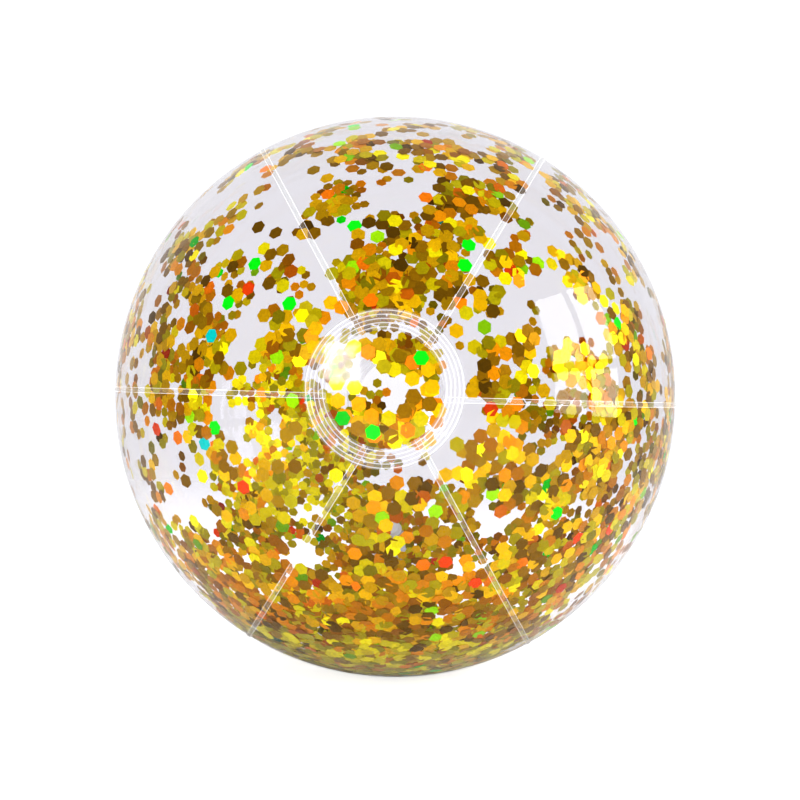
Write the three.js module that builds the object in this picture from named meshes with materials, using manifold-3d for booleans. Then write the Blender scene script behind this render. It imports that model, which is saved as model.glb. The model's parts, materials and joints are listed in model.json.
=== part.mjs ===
// Inflatable beach ball: six clear film gores with lap-welded seams, a welded end patch on each pole,
// a push-in inflation valve with stopper and check flap, and loose hexagonal confetti inside.
// Millimetres, +Z up. The origin is the ball's centre. The poles lie on the Y axis, the front one at -Y.

import * as THREE from "three";
import { mergeVertices } from "three/addons/utils/BufferGeometryUtils.js";
import Module from "manifold-3d";

const wasm = await Module();
wasm.setup();

// ---- Driving dimensions ----

const ballRadius = 132; // inflated, to the outside of the film
const film = 0.25; // thickness of the PVC film
const goreCount = 6;
const bottomGore = 4; // the gore that faces down, and carries the valve
const seamWidth = 1.9; // lap of one gore over the next
const seamGap = 0.1; // between the two films of a lap
const edgeGap = 0.15; // between a gore's edge and the step of the gore that laps over it

const patchRadius = 29.6; // end patch, to its edge
const patchHole = 21.8; // hole in the gore tips under the patch
const patchGap = 0.2; // between a patch or the valve flange and the film below
const frontPatchShift = { x: -4.2, z: 3.3 }; // the front patch is welded a little off the pole
const backPatchShift = { x: 0, z: 0 };
const weldRibs = 5; // concentric ribs on the patch's weld
const ribHeight = 0.3;

const valveBelowLevel = THREE.MathUtils.degToRad(40); // how far the valve's axis points below the back pole
const stemRadius = 4.8;
const stemBore = 3.2; // radius
const stemLength = 17;
const stemClearance = 0.3; // between the stem and the flange's bore
const rimStep = 1.2; // rim proud of the stem
const rimHeight = 0.8;
const beadStep = 0.8; // stop bead on the stem's inner end, proud of the stem
const beadHeight = 1.4;
const flangeRadius = 13;
const flangeHeight = 0.8;
const collarWall = 1;
const collarDepth = 3;
const holeMargin = 0.5; // between the collar and the hole in the gore
const lidLap = 1.4; // lid beyond the bore
const lidHeight = 0.9;
const plugFit = 0.3; // between the plug's top and the bore
const plugTaper = 0.7;
const plugLength = 3.5;
const partGap = 0.3; // between touching pieces of the valve
const strapWidth = 3;
const strapReach = 2.7; // from the lid's edge to the hinge line
const lugWidth = 3.4; // the stem's lug, which carries the strap
const tabWidth = 3.6;
const tabReach = 2.6;
const tabHeight = 0.7;
const flapLap = 0.7; // check flap beyond the bore
const flapHeight = 0.4;
const flapTail = 0.9; // from the flap's edge to its hinge line
const flapTailWidth = 2.4;
const rooting = 0.6; // how far a lug, tab or tail reaches into the round part that carries it

const flakeRadius = 3; // centre to corner
const flakeHeight = 0.15;
const flakeGap = 0.6; // between a flake and the film it clings to
const flakeSpacing = 1.07; // centre to centre in an arc, in flake widths
const arcSpacing = 1.1; // between the pocket's two arcs, in flake widths
const flakeTurn = 0.9; // radians from each flake to the next, so that they lie every way round
const pocketArcs = [11, 7]; // flakes in the outer and the inner arc in the front patch's pocket
const pocketMiddle = THREE.MathUtils.degToRad(-80); // where both arcs are centred, from +X towards +Z
const pocketMargin = 1.3; // between the outer arc and the edge of the hole

// Single flakes on the film: degrees from the front pole, and degrees from +X towards +Z.
const filmFlakes = [
  { name: "green_1", polar: 31, azimuth: 105 },
  { name: "green_2", polar: 35, azimuth: 138 },
  { name: "green_3", polar: 24, azimuth: 140 },
  { name: "green_4", polar: 29.5, azimuth: 66 },
  { name: "green_5", polar: 25.5, azimuth: 64 },
  { name: "green_6", polar: 32.5, azimuth: 191 },
  { name: "green_7", polar: 36, azimuth: 326 },
  { name: "cyan_1", polar: 35, azimuth: 163 },
  { name: "cyan_2", polar: 35.5, azimuth: 195 },
  { name: "lime_1", polar: 28, azimuth: 98 },
  { name: "lime_2", polar: 20, azimuth: 291 },
  { name: "lime_3", polar: 23, azimuth: 317 },
  { name: "lime_4", polar: 35.5, azimuth: 45 },
  { name: "lemon_1", polar: 16, azimuth: 234 },
  { name: "lemon_2", polar: 35, azimuth: 319 },
  { name: "lemon_3", polar: 28, azimuth: 49 },
  { name: "orange_1", polar: 40, azimuth: 110 },
  { name: "orange_2", polar: 37, azimuth: 83 },
  { name: "orange_3", polar: 42, azimuth: 192 },
  { name: "orange_4", polar: 29.5, azimuth: 281 },
  { name: "orange_5", polar: 38.5, azimuth: 309 },
  { name: "red_1", polar: 32.5, azimuth: 145 },
  { name: "red_2", polar: 31, azimuth: 212 },
  { name: "red_3", polar: 30, azimuth: 288.5 },
];

const heapLength = 110; // along Y
const heapSweep = THREE.MathUtils.degToRad(76); // round the Y axis
const heapDepth = 1.8; // at the middle
const heapEdge = 0.4;
const heapGap = 1.5; // between the heap and the film

// ---- Shared values worked out from them ----

const patchInside = ballRadius + seamGap + film + patchGap; // clears the seams' laps
const patchAngle = Math.asin(patchRadius / ballRadius);
const holeAngle = Math.asin(patchHole / ballRadius);
const flangeBore = stemRadius + stemClearance;
const collarRadius = flangeBore + collarWall;
const filmHole = collarRadius + holeMargin;
const flangeInside = ballRadius + patchGap;
const rimBottom = flangeUnder(flangeBore) + flangeHeight + partGap;
const rimTop = rimBottom + rimHeight;
const rimRadius = stemRadius + rimStep;
const lidBottom = rimTop + partGap;
const lidRadius = stemBore + lidLap;
const stemEnd = rimTop - stemLength;
const hingeReach = lidRadius + strapReach;
const hingeHeight = lidBottom + lidHeight / 2;

// ---- Geometry helpers ----

// A point on a sphere about the origin: polar angle from the front pole, azimuth from +X towards +Z.
function onSphere(radius, polar, azimuth) {
  const ring = radius * Math.sin(polar);
  return new THREE.Vector3(ring * Math.cos(azimuth), -radius * Math.cos(polar), ring * Math.sin(azimuth));
}

// The underside of the valve flange, which follows the ball, as a height above the gore at its middle.
function flangeUnder(distance) {
  return Math.sqrt(flangeInside ** 2 - distance ** 2) - ballRadius;
}

// Turns every face round where a closed geometry faces inwards.
function facingOut(geometry) {
  const p = geometry.attributes.position;
  const index = geometry.index.array;
  const [a, b, c] = [new THREE.Vector3(), new THREE.Vector3(), new THREE.Vector3()];
  let volume = 0;
  for (let i = 0; i < index.length; i += 3) {
    a.fromBufferAttribute(p, index[i]);
    b.fromBufferAttribute(p, index[i + 1]);
    c.fromBufferAttribute(p, index[i + 2]);
    volume += a.dot(b.cross(c));
  }
  if (volume < 0) {
    for (let i = 0; i < index.length; i += 3) {
      [index[i + 1], index[i + 2]] = [index[i + 2], index[i + 1]];
    }
  }
  return geometry;
}

function geometryOf(points, faces) {
  const geometry = new THREE.BufferGeometry().setFromPoints(points);
  geometry.setIndex(faces.flat());
  return facingOut(geometry);
}

// A geometry whose shared vertices are merged, ready to be a solid.
function merged(geometry) {
  const bare = geometry.clone();
  bare.deleteAttribute("normal");
  bare.deleteAttribute("uv");
  return facingOut(mergeVertices(bare, 1e-4));
}

function solid(geometry) {
  const ready = merged(geometry);
  return new wasm.Manifold(
    new wasm.Mesh({
      numProp: 3,
      vertProperties: new Float32Array(ready.attributes.position.array),
      triVerts: new Uint32Array(ready.index.array),
    })
  );
}

function geometryFrom(manifold) {
  const mesh = manifold.getMesh();
  const geometry = new THREE.BufferGeometry();
  geometry.setAttribute("position", new THREE.BufferAttribute(mesh.vertProperties, 3));
  geometry.setIndex(new THREE.BufferAttribute(mesh.triVerts, 1));
  return geometry;
}

// Joins closed rings of the same number of points into a closed body, with the given faces on both ends.
// An end face's corners are taken in the ring's own order, so that they turn the same way as the sides.
function loft(rings, endFaces) {
  const size = rings[0].length;
  const last = (rings.length - 1) * size;
  const faces = [];
  for (let row = 0; row + 1 < rings.length; row++) {
    for (let i = 0; i < size; i++) {
      const a = row * size + i;
      const b = row * size + ((i + 1) % size);
      faces.push([a, b, b + size], [a, b + size, a + size]);
    }
  }
  for (const corners of endFaces) {
    const [a, b, c] = [...corners].sort((p, q) => p - q);
    faces.push([c, b, a], [last + a, last + b, last + c]);
  }
  return geometryOf(rings.flat(), faces);
}

function turned(profile, segments) {
  const points = profile.map(([x, y]) => new THREE.Vector2(x, y));
  return merged(new THREE.LatheGeometry(points, segments));
}

function box(width, height, depth, x, y, z) {
  return new THREE.BoxGeometry(width, height, depth).translate(x, y, z);
}

// ---- Materials ----

function plastic(color, roughness, metalness, opacity) {
  return new THREE.MeshStandardMaterial({ color, roughness, metalness, opacity, transparent: opacity < 1 });
}

const clearFilm = plastic(0xe6e4ec, 0.08, 0, 0.35);
const clearPatch = plastic(0xeceaf2, 0.1, 0, 0.4);
const clearVinyl = plastic(0xdcdce4, 0.3, 0, 0.6);
const goldFoil = plastic(0xc8a000, 0.25, 0.9, 1);
const goldHeap = plastic(0xb98f10, 0.4, 0.7, 1);

function piece(name, geometry, material) {
  const mesh = new THREE.Mesh(geometry, material);
  mesh.name = name;
  return mesh;
}

// ---- Film gores ----

// The polar angle of the edge of the hole under a patch whose middle is off the pole.
function holeEdge(shift, azimuth) {
  const middle = Math.asin(Math.hypot(shift.x, shift.z) / ballRadius);
  const turn = azimuth - Math.atan2(shift.z, shift.x);
  return middle * Math.cos(turn) + Math.sqrt(holeAngle ** 2 - (middle * Math.sin(turn)) ** 2);
}

// The polar angle of one row of the gores' grid: even in the middle, following the two holes at the ends.
function rowAngle(share, azimuth) {
  const fade = (distance) => Math.max(0, 1 - distance / 0.35) ** 2;
  const even = THREE.MathUtils.lerp(holeAngle, Math.PI - holeAngle, share);
  const front = (holeEdge(frontPatchShift, azimuth) - holeAngle) * fade(share);
  const back = (holeEdge(backPatchShift, azimuth) - holeAngle) * fade(1 - share);
  return even + front - back;
}

// A gore's cross-section, all the way round, as [azimuth, distance beside it along the ball, radius] corners.
// Its first edge lies under the gore before it, and its last edge steps up and laps over the next one.
function goreSection(first, last, columns) {
  const half = seamWidth / 2;
  const inside = ballRadius - film;
  const lapInside = ballRadius + seamGap;
  const lapOutside = lapInside + film;
  const between = [];
  for (let column = 1; column < columns; column++) {
    between.push(THREE.MathUtils.lerp(first, last, column / columns));
  }
  return [
    [first, edgeGap - half, ballRadius],
    [first, half, ballRadius],
    ...between.map((azimuth) => [azimuth, 0, ballRadius]),
    [last, -half - film, ballRadius],
    [last, -half - film, lapOutside],
    [last, half, lapOutside],
    [last, half, lapInside],
    [last, -half, lapInside],
    [last, -half, inside],
    ...between.reverse().map((azimuth) => [azimuth, 0, inside]),
    [first, half, inside],
    [first, edgeGap - half, inside],
  ];
}

// The triangles that close a gore's cross-section: pairs across the film, and then the step and the lap.
// Each one is short, so that the tips follow the round edge of the hole.
function goreEndFaces(columns, size) {
  const faces = [];
  for (let i = 0; i < columns; i++) {
    faces.push([i, i + 1, size - 2 - i], [i, size - 2 - i, size - 1 - i]);
  }
  const [filmOut, stepOut, lapTop, lapEnd, lapUnder, stepUnder, stepIn, filmIn] = [...Array(8).keys()].map(
    (corner) => columns + corner
  );
  faces.push([filmOut, stepOut, stepIn], [filmOut, stepIn, filmIn], [stepOut, stepUnder, stepIn]);
  faces.push([stepOut, lapTop, stepUnder], [lapTop, lapEnd, lapUnder], [lapTop, lapUnder, stepUnder]);
  return faces;
}

function gore(number) {
  const rows = 25; // odd, so that one facet of the bottom gore is centred on the lowest point
  const columns = number === bottomGore ? 11 : 8;
  const step = (2 * Math.PI) / goreCount;
  const section = goreSection(number * step, (number + 1) * step, columns);
  const rings = [];
  for (let row = 0; row <= rows; row++) {
    rings.push(
      section.map(([azimuth, beside, radius]) => {
        const polar = rowAngle(row / rows, azimuth);
        return onSphere(radius, polar, azimuth + beside / (ballRadius * Math.sin(polar)));
      })
    );
  }
  return loft(rings, goreEndFaces(columns, section.length));
}

function goreWithValveHole() {
  const drill = new THREE.CylinderGeometry(filmHole, filmHole, 20, 40);
  drill.translate(0, ballRadius, 0).rotateX(-valveBelowLevel);
  return geometryFrom(solid(gore(bottomGore)).subtract(solid(drill)));
}

// ---- End patches ----

// The patch stands on +Y and is turned to its pole afterwards.
function endPatch() {
  const steps = 8;
  const ringAngle = Math.asin(patchHole / ballRadius);
  const at = (radius, angle) => [radius * Math.sin(angle), radius * Math.cos(angle)];
  const outside = patchInside + film;
  const profile = [];
  for (let i = 0; i <= steps; i++) {
    profile.push(at(patchInside, (patchAngle * i) / steps));
  }
  for (let rib = 2 * weldRibs; rib >= 0; rib--) {
    const angle = THREE.MathUtils.lerp(ringAngle, patchAngle, rib / (2 * weldRibs));
    profile.push(at(outside + (rib % 2 ? ribHeight : 0), angle));
  }
  for (let i = 4; i >= 0; i--) {
    profile.push(at(outside, (ringAngle * i) / 5));
  }
  return turned(profile, 36);
}

function placedPatch(name, shift, side) {
  const height = Math.sqrt(ballRadius ** 2 - shift.x ** 2 - shift.z ** 2);
  const middle = new THREE.Vector3(shift.x, side * height, shift.z).normalize();
  const mesh = piece(name, endPatch(), clearPatch);
  mesh.quaternion.setFromUnitVectors(new THREE.Vector3(0, 1, 0), middle);
  return mesh;
}

// ---- Valve, in its own frame: Y points out of the ball, and the gore's outside is at 0 ----

function valveFlange() {
  const profile = [
    [flangeBore, flangeUnder(flangeBore) + flangeHeight],
    [flangeBore, -collarDepth],
    [collarRadius, -collarDepth],
  ];
  for (let i = 0; i <= 3; i++) {
    const distance = THREE.MathUtils.lerp(collarRadius, flangeRadius, i / 3);
    profile.push([distance, flangeUnder(distance)]);
  }
  profile.push([flangeRadius, flangeUnder(flangeRadius) + flangeHeight / 2]);
  profile.push([flangeRadius - 1.5, flangeUnder(flangeRadius - 1.5) + flangeHeight]);
  return turned([...profile, profile[0]], 40);
}

function valveStem() {
  const beadRadius = stemRadius + beadStep;
  const profile = [
    [stemBore, rimTop],
    [stemBore, stemEnd],
    [beadRadius, stemEnd],
    [beadRadius, stemEnd + beadHeight],
    [stemRadius, stemEnd + beadHeight + 1],
    [stemRadius, rimBottom],
    [rimRadius, rimBottom],
    [rimRadius, rimTop],
  ];
  const tube = turned([...profile, profile[0]], 32);
  const lugInner = rimRadius - rooting;
  const lugLength = hingeReach + lidHeight - lugInner;
  const lugHeight = (rimBottom + rimTop) / 2;
  const lug = box(lugWidth, rimHeight, lugLength, 0, lugHeight, lugInner + lugLength / 2);
  return geometryFrom(solid(tube).add(solid(lug)));
}

function valvePlug() {
  const lidTop = lidBottom + lidHeight;
  const plugTopRadius = stemBore - plugFit;
  const plugTipRadius = plugTopRadius - plugTaper;
  const profile = [
    [0, lidTop],
    [0, lidBottom - plugLength],
    [plugTipRadius, lidBottom - plugLength],
    [plugTopRadius, lidBottom],
    [lidRadius, lidBottom],
    [lidRadius, lidTop],
    [0, lidTop],
  ];
  const round = turned(profile, 32);
  const tabLength = tabReach + rooting;
  const middle = rooting - lidRadius - tabLength / 2;
  const tab = box(tabWidth, tabHeight, tabLength, 0, lidBottom + lidHeight / 2, middle);
  return geometryFrom(solid(round).add(solid(tab)));
}

function plugStrap() {
  const inner = lidRadius + partGap;
  const outer = hingeReach + lidHeight / 2;
  return box(strapWidth, lidHeight, outer - inner, 0, hingeHeight, (inner + outer) / 2);
}

function checkFlap() {
  const radius = stemBore + flapLap;
  const height = stemEnd - partGap - flapHeight / 2;
  const disc = new THREE.CylinderGeometry(radius, radius, flapHeight, 24).translate(0, height, 0);
  const inner = radius - rooting;
  const outer = radius + flapTail;
  const tail = box(flapTailWidth, flapHeight, outer - inner, 0, height, (inner + outer) / 2);
  return geometryFrom(solid(disc).add(solid(tail)));
}

function valve() {
  const group = new THREE.Group();
  group.add(piece("valve_flange", valveFlange(), clearVinyl));
  group.add(piece("valve_stem", valveStem(), clearVinyl));
  group.add(piece("valve_plug", valvePlug(), clearVinyl));
  group.add(piece("plug_strap", plugStrap(), clearVinyl));
  group.add(piece("check_flap", checkFlap(), clearVinyl));
  group.position.set(0, ballRadius * Math.cos(valveBelowLevel), -ballRadius * Math.sin(valveBelowLevel));
  group.rotation.x = -valveBelowLevel;
  return group;
}

// ---- Confetti ----

// A hexagonal foil flake that clings flat to the inside of a film, at one place on the ball.
function flake(name, filmInside, polar, azimuth, turn) {
  const place = onSphere(filmInside - flakeGap - flakeHeight / 2, polar, azimuth);
  const mesh = piece(name, new THREE.CylinderGeometry(flakeRadius, flakeRadius, flakeHeight, 6), goldFoil);
  mesh.position.copy(place);
  mesh.quaternion.setFromUnitVectors(new THREE.Vector3(0, 1, 0), place.clone().normalize());
  mesh.rotateY(turn);
  return mesh;
}

// Flakes that lie along the lower edge of the front patch's pocket, in two arcs, side by side.
function flakesInPocket() {
  const flakes = [];
  pocketArcs.forEach((count, arc) => {
    const reach = patchHole - pocketMargin - flakeRadius * (1 + 2 * arcSpacing * arc);
    const step = (2 * flakeRadius * flakeSpacing) / reach;
    for (let i = 0; i < count; i++) {
      const angle = pocketMiddle + step * (i - (count - 1) / 2);
      const x = frontPatchShift.x + reach * Math.cos(angle);
      const z = frontPatchShift.z + reach * Math.sin(angle);
      const polar = Math.asin(Math.hypot(x, z) / ballRadius);
      const name = "flake_pocket_" + String(flakes.length + 1).padStart(2, "0");
      flakes.push(flake(name, patchInside, polar, Math.atan2(z, x), flakeTurn * i));
    }
  });
  return flakes;
}

function flakesOnFilm() {
  return filmFlakes.map(({ name, polar, azimuth }, i) => {
    const [down, round] = [polar, azimuth].map(THREE.MathUtils.degToRad);
    return flake("flake_" + name, ballRadius - film, down, round, flakeTurn * i);
  });
}

// The loose confetti at the bottom: a thin blanket, deepest in the middle, that follows the ball's inside.
function looseConfetti() {
  const along = 12;
  const round = 16;
  const outside = ballRadius - heapGap;
  const point = (row, column, inner) => {
    const y = (row / along - 0.5) * heapLength;
    const turn = (column / round - 0.5) * heapSweep;
    const fall = (1 - (2 * row / along - 1) ** 2) * (1 - (2 * column / round - 1) ** 2);
    const radius = inner ? outside - heapEdge - heapDepth * fall : outside;
    const ring = Math.sqrt(radius ** 2 - y ** 2);
    return new THREE.Vector3(ring * Math.sin(turn), y, -ring * Math.cos(turn));
  };
  const rings = [];
  for (let row = 0; row <= along; row++) {
    const ring = [];
    for (let column = 0; column <= round; column++) ring.push(point(row, column, false));
    for (let column = round; column >= 0; column--) ring.push(point(row, column, true));
    rings.push(ring);
  }
  const endFaces = [];
  const last = 2 * round + 1;
  for (let column = 0; column < round; column++) {
    endFaces.push([column, column + 1, last - column - 1], [column, last - column - 1, last - column]);
  }
  return loft(rings, endFaces);
}

// ---- The whole ball ----

const ball = new THREE.Group();
for (let number = 0; number < goreCount; number++) {
  const geometry = number === bottomGore ? goreWithValveHole() : gore(number);
  ball.add(piece("gore_" + (number + 1), geometry, clearFilm));
}
ball.add(placedPatch("front_patch", frontPatchShift, -1));
ball.add(placedPatch("back_patch", backPatchShift, 1));
ball.add(valve());
ball.add(...flakesInPocket(), ...flakesOnFilm());
ball.add(piece("loose_confetti", looseConfetti(), goldHeap));

export default ball;
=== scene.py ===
import json
import math
import random
from itertools import product

import bmesh
import bpy
from mathutils import Matrix, Vector, noise


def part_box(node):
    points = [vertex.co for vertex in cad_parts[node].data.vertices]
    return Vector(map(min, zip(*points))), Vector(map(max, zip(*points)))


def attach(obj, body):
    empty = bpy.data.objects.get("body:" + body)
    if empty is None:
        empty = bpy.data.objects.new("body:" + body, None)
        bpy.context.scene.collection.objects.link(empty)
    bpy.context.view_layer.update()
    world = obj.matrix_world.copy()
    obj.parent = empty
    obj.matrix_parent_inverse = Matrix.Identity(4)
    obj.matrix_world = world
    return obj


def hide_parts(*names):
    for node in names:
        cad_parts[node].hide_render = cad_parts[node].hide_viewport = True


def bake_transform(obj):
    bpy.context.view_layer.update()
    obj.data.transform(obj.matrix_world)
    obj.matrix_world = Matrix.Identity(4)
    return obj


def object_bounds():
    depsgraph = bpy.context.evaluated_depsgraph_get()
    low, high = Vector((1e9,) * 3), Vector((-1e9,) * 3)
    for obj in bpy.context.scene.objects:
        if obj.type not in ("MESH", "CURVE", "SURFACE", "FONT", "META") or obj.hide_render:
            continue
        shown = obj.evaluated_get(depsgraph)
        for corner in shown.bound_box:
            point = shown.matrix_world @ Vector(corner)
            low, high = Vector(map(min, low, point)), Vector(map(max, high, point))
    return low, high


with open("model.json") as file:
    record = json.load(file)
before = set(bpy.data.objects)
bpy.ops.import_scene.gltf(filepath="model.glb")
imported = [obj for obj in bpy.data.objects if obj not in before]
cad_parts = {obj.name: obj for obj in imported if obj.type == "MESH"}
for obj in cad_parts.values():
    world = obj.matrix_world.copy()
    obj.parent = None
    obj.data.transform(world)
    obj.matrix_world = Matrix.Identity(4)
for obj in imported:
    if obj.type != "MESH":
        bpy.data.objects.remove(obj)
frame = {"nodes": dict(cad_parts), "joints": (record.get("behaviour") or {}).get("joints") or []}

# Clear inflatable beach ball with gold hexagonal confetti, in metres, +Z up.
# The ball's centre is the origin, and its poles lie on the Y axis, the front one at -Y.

CAD_BOX = [list(corner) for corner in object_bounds()]

# ---- Sizes, which repeat the CAD part's ----

MM = 0.001
BALL_RADIUS = 132 * MM
FILM = 0.25 * MM
GORES = 6
SEAM_WIDTH = 1.9 * MM
SEAM_GAP = 0.1 * MM
EDGE_GAP = 0.15 * MM
# The weld's beads are bright partly with a painted glow, the white emission of the edge material.
BEAD = 0.17 * MM  # the bright bead along each side of a weld, and the dark groove beside it
PATCH_RADIUS = 29.6 * MM
PATCH_HOLE = 21.8 * MM
PATCH_GAP = 0.2 * MM
WELD_RIBS = 5
RIB_HEIGHT = 0.3 * MM
FLAKE_RADIUS = 3 * MM
FLAKE_THICKNESS = 0.1 * MM
FLOOR = CAD_BOX[0][2]  # the flat that the ball rests on

HOLE_ANGLE = math.asin(PATCH_HOLE / BALL_RADIUS)
PATCH_ANGLE = math.asin(PATCH_RADIUS / BALL_RADIUS)
PATCH_INSIDE = BALL_RADIUS + SEAM_GAP + FILM + PATCH_GAP


def middle_of(node):
    low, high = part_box(node)
    return (low + high) / 2


def joint(name):
    return next(j for j in frame["joints"] if j["name"] == name)


FRONT_POLE = middle_of("front_patch").normalized()
BACK_POLE = middle_of("back_patch").normalized()


# ---- Camera and studio ----

CAMERA_DISTANCE = 4 * BALL_RADIUS
CAMERA_PLACE = Vector((0, -CAMERA_DISTANCE, 2 * MM))
CAMERA_AIM = Vector((2.2 * MM, 0, -1.5 * MM))
CAMERA_LENS = 48.9  # mm
SENSOR_WIDTH = 36  # mm
CAMERA_ROLL = math.radians(1.6)

WHITE = (1, 1, 1, 1)
ROOM_AHEAD = 0.12  # brightness of the studio in front of the ball, as its film and foil mirror it
ROOM_BEHIND = 0.9
FLOOR_REACH = 1.6
FLOOR_FADE = (0.35, 1.5)  # where the floor starts and ends its fade into the white
FLOOR_LIFT = 0.6

WINDOW_SIDE = (0.957, -0.242, 0.185)  # the direction from the ball to the window
WINDOW_DISTANCE = 1.45
WINDOW_BRIGHTNESS = 21  # watts a square metre
PANE_WIDTH = 0.38
UPPER_PANE, LOWER_PANE = 0.56, 0.34  # heights
WINDOW_BAR = 0.07  # between the panes

# Lamps by direction, distance, size and watts. The film mirrors the softbox, and not the fills.
SOFTBOX = ((-0.345, -0.918, 0.2), 1.6, (0.32, 0.40), 10)
FILLS = {
    "fill_front": ((0.1, -0.9, 0.2), 2.0, (1.6, 1.6), 28),
    "fill_top": ((0.0, -0.1, 1.0), 2.0, (1.6, 1.6), 24),
    "fill_left": ((-1.0, -0.1, -0.1), 2.0, (1.6, 1.6), 14),
    "fill_low": ((0.0, -1.0, -0.02), 1.0, (1.2, 0.2), 2.2),
}


def make_camera():
    data = bpy.data.cameras.new("camera")
    data.lens = CAMERA_LENS
    data.sensor_width = SENSOR_WIDTH
    camera = bpy.data.objects.new("camera", data)
    bpy.context.scene.collection.objects.link(camera)
    turn = (CAMERA_AIM - CAMERA_PLACE).to_track_quat("-Z", "Y").to_matrix().to_4x4()
    camera.matrix_world = Matrix.Translation(CAMERA_PLACE) @ turn @ Matrix.Rotation(CAMERA_ROLL, 4, "Z")
    bpy.context.scene.camera = camera


def add_lamp(name, direction, distance, size, power):
    """A rectangular area light that faces the ball from one direction."""
    data = bpy.data.lights.new(name, "AREA")
    data.shape = "RECTANGLE"
    data.size, data.size_y = size
    data.energy = power
    lamp = bpy.data.objects.new(name, data)
    bpy.context.scene.collection.objects.link(lamp)
    place = Vector(direction).normalized() * distance
    facing = (-place).to_track_quat("-Z", "Y").to_matrix().to_4x4()
    lamp.matrix_world = Matrix.Translation(place) @ facing
    return lamp


def window_light():
    """Two tall panes over two short ones, with bars between them, which the film mirrors at the right."""
    out = Vector(WINDOW_SIDE).normalized()
    across = Vector((-out.y, out.x, 0)).normalized()
    up = out.cross(across).normalized()
    facing = (-out).to_track_quat("-Z", "Y").to_matrix().to_4x4()
    for column in (-1, 1):
        for height, row in ((UPPER_PANE, 1), (LOWER_PANE, -1)):
            aside = across * column * (PANE_WIDTH + WINDOW_BAR) / 2
            above = up * row * (height + WINDOW_BAR) / 2
            place = out * WINDOW_DISTANCE + aside + above
            power = WINDOW_BRIGHTNESS * PANE_WIDTH * height
            pane = add_lamp(f"window_{column}_{row}", place, place.length, (PANE_WIDTH, height), power)
            pane.matrix_world = Matrix.Translation(place) @ facing


def make_lights():
    window_light()
    add_lamp("front_left", *SOFTBOX)
    for name, lamp in FILLS.items():
        fill = add_lamp(name, *lamp)
        fill.visible_glossy = False


def make_world():
    """White all round to look at, and darker on the front side in what the foil and the film mirror."""
    world = bpy.data.worlds.new("studio")
    bpy.context.scene.world = world
    shader = Shader(world, "OutputWorld")
    place = shader.add("TexCoord")
    split = shader.add("SeparateXYZ", {0: place.outputs["Generated"]})
    strength = shader.stretch(split.outputs["Y"], (0.0, 0.8), (ROOM_AHEAD, ROOM_BEHIND), "SMOOTHSTEP")
    room = shader.add("Background", {"Color": WHITE, "Strength": strength})
    seen = shader.add("Background", {"Color": WHITE, "Strength": 1.0})
    path = shader.add("LightPath")
    shader.finish(shader.mix(path.outputs["Is Camera Ray"], room.outputs[0], seen.outputs[0]))


def make_floor():
    """A pale round floor that fades out into the white of the studio."""
    rings, spokes = 12, 96
    points = [Vector((0, 0, FLOOR))]
    faces = []
    for ring in range(1, rings + 1):
        radius = FLOOR_REACH * ring / rings
        for spoke in range(spokes):
            angle = 2 * math.pi * spoke / spokes
            points.append(Vector((radius * math.cos(angle), radius * math.sin(angle), FLOOR)))
    for spoke in range(spokes):
        faces.append((0, 1 + spoke, 1 + (spoke + 1) % spokes))
    for ring in range(rings - 1):
        for spoke in range(spokes):
            a = 1 + ring * spokes + spoke
            b = 1 + ring * spokes + (spoke + 1) % spokes
            faces.append((a, a + spokes, b + spokes, b))
    floor = mesh_object("studio_floor", points, faces, [floor_material()])


# ---- Node helpers ----


def linear(colour):
    """Three 0 to 255 display values as the linear ones that a shader takes."""
    parts = []
    for value in colour:
        share = value / 255
        parts.append(share / 12.92 if share <= 0.04045 else ((share + 0.055) / 1.055) ** 2.4)
    return parts


class Shader:
    """The nodes of a new material or world, with short ways to add, link and finish them."""

    def __init__(self, owner, output="OutputMaterial"):
        self.owner = owner
        self.output = output
        owner.use_nodes = True
        owner.node_tree.nodes.clear()

    def add(self, kind, inputs=None, **settings):
        """A new node. Each of its inputs, by name or number, is given a value or another node's output."""
        node = self.owner.node_tree.nodes.new("ShaderNode" + kind)
        for key, value in settings.items():
            setattr(node, key, value)
        for key, value in (inputs or {}).items():
            if isinstance(value, bpy.types.NodeSocket):
                self.owner.node_tree.links.new(value, node.inputs[key])
            else:
                node.inputs[key].default_value = value
        return node

    def stretch(self, source, given, wanted, interpolation="LINEAR"):
        """A value of the source, with the given range mapped to the wanted one."""
        low, high = given
        first, last = wanted
        inputs = {"Value": source, "From Min": low, "From Max": high, "To Min": first, "To Max": last}
        return self.add("MapRange", inputs, interpolation_type=interpolation).outputs["Result"]

    def mix(self, share, first, second):
        return self.add("MixShader", {"Fac": share, 1: first, 2: second}).outputs[0]

    def finish(self, surface):
        self.add(self.output, {"Surface": surface})
        return self.owner


def new_shader(name):
    return Shader(bpy.data.materials.new(name))


def bumped(shader, scale, strength):
    """A bump normal from soft noise in the object's own coordinates."""
    place = shader.add("TexCoord")
    waves = shader.add("TexNoise", {"Vector": place.outputs["Object"], "Scale": scale, "Detail": 2.0})
    bump = shader.add("Bump", {"Height": waves.outputs["Fac"], "Strength": strength, "Distance": 1.0 * MM})
    return bump.outputs["Normal"]


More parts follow.
